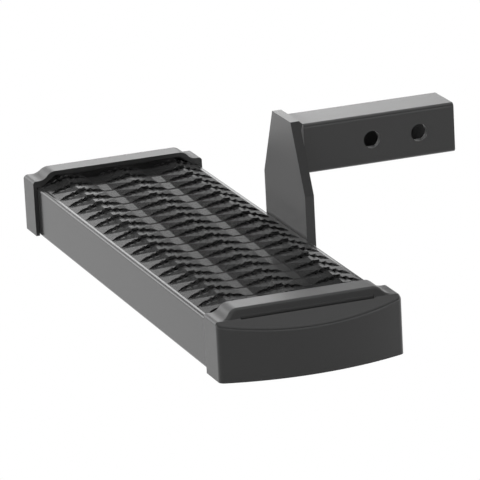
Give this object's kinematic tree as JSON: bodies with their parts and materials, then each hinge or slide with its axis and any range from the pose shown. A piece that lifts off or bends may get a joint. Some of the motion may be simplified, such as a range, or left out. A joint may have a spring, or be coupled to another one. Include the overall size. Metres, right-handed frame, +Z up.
{
  "type": "hitch receiver step",
  "caption": "Step plank with a raised toothed tread and moulded end caps, carried by a flared plate and a square tube that a hitch pin holds in a receiver.",
  "frame": {"origin": "on the axis of the hitch-pin hole nearest the tube's free end, midway between the tube's side walls", "axes": "+X along the plank and along the pin holes, +Y from the plank along the tube to its free end, +Z up"},
  "size_m": [0.6228, 0.3567, 0.1637],
  "materials": {
    "step_paint": "black powder coat, satin",
    "frame_paint": "black powder coat, satin",
    "cap_plastic": "black moulded plastic, fine grain",
    "zinc_steel": "zinc plated",
    "black_screw": "black oxide"
  },
  "bodies": {
    "root": {"tread_plank": "step_paint", "end_cap_left": "cap_plastic", "end_cap_right": "cap_plastic", "drop_plate": "frame_paint", "receiver_tube": "frame_paint", "tube_weld": "frame_paint", "brace_left": "frame_paint", "brace_right": "frame_paint", "plate_bolt_1": "zinc_steel", "plate_bolt_2": "zinc_steel", "plate_bolt_3": "zinc_steel", "plate_bolt_4": "zinc_steel", "bolt_washer_1": "zinc_steel", "bolt_washer_2": "zinc_steel", "bolt_washer_3": "zinc_steel", "bolt_washer_4": "zinc_steel", "nut_washer_1": "zinc_steel", "nut_washer_2": "zinc_steel", "nut_washer_3": "zinc_steel", "nut_washer_4": "zinc_steel", "lock_nut_1": "zinc_steel", "lock_nut_2": "zinc_steel", "lock_nut_3": "zinc_steel", "lock_nut_4": "zinc_steel", "cap_screw_1": "black_screw", "cap_screw_2": "black_screw", "cap_screw_3": "black_screw", "cap_screw_4": "black_screw"}
  },
  "joints": []
}
